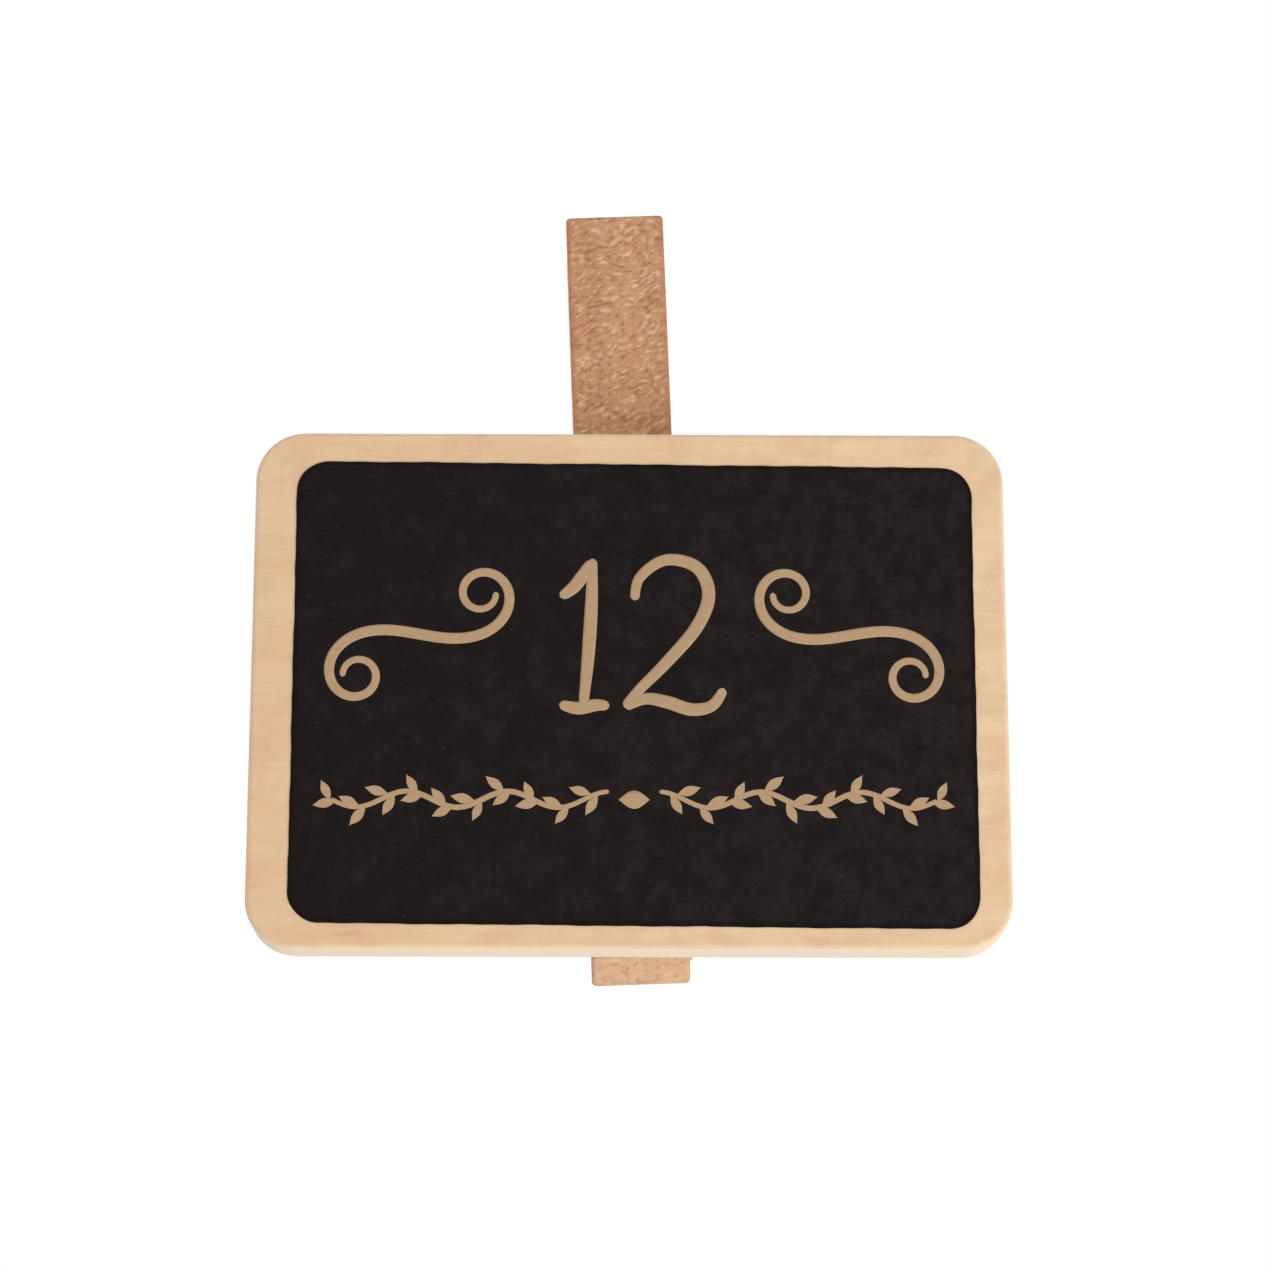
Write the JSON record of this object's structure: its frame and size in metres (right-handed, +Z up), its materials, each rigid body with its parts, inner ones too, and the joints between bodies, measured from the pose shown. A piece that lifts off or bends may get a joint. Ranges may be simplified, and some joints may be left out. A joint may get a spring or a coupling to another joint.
{
  "type": "clip-on table number sign",
  "caption": "Small blackboard sign glued to a sprung wooden peg, which clips it to a glass rim, card, stem or ribbon on a laid table.",
  "frame": {"origin": "middle of the closed jaws, where the sign grips what carries it", "axes": "+Z up towards the peg's handles, +X to the reader's right, front of the board facing -Y"},
  "size_m": [0.07, 0.0197, 0.0733],
  "materials": {
    "board_wood": "sanded, bare",
    "blackboard_paint": "matt, faintly brushed",
    "peg_wood": "sanded, bare",
    "spring_steel": "zinc plated wire",
    "wood_glue": "dried, cloudy"
  },
  "bodies": {
    "sign": {"board": "board_wood", "writing_panel": "blackboard_paint", "front_peg_half": "peg_wood", "peg_spring": "spring_steel", "lower_glue": "wood_glue", "upper_glue": "wood_glue"},
    "rear_half": {"rear_peg_half": "peg_wood"}
  },
  "joints": [
    {"name": "peg_opening", "type": "hinge", "parent": "sign", "child": "rear_half", "pos_m": [-0.00084, 0, 0.02173], "axis": [0.9993, 0, 0.0384], "range_deg": [0, 10.5], "stiffness_Nm_per_rad": 0.25, "springref_deg": -28.65, "deforming": ["peg_spring"]}
  ]
}
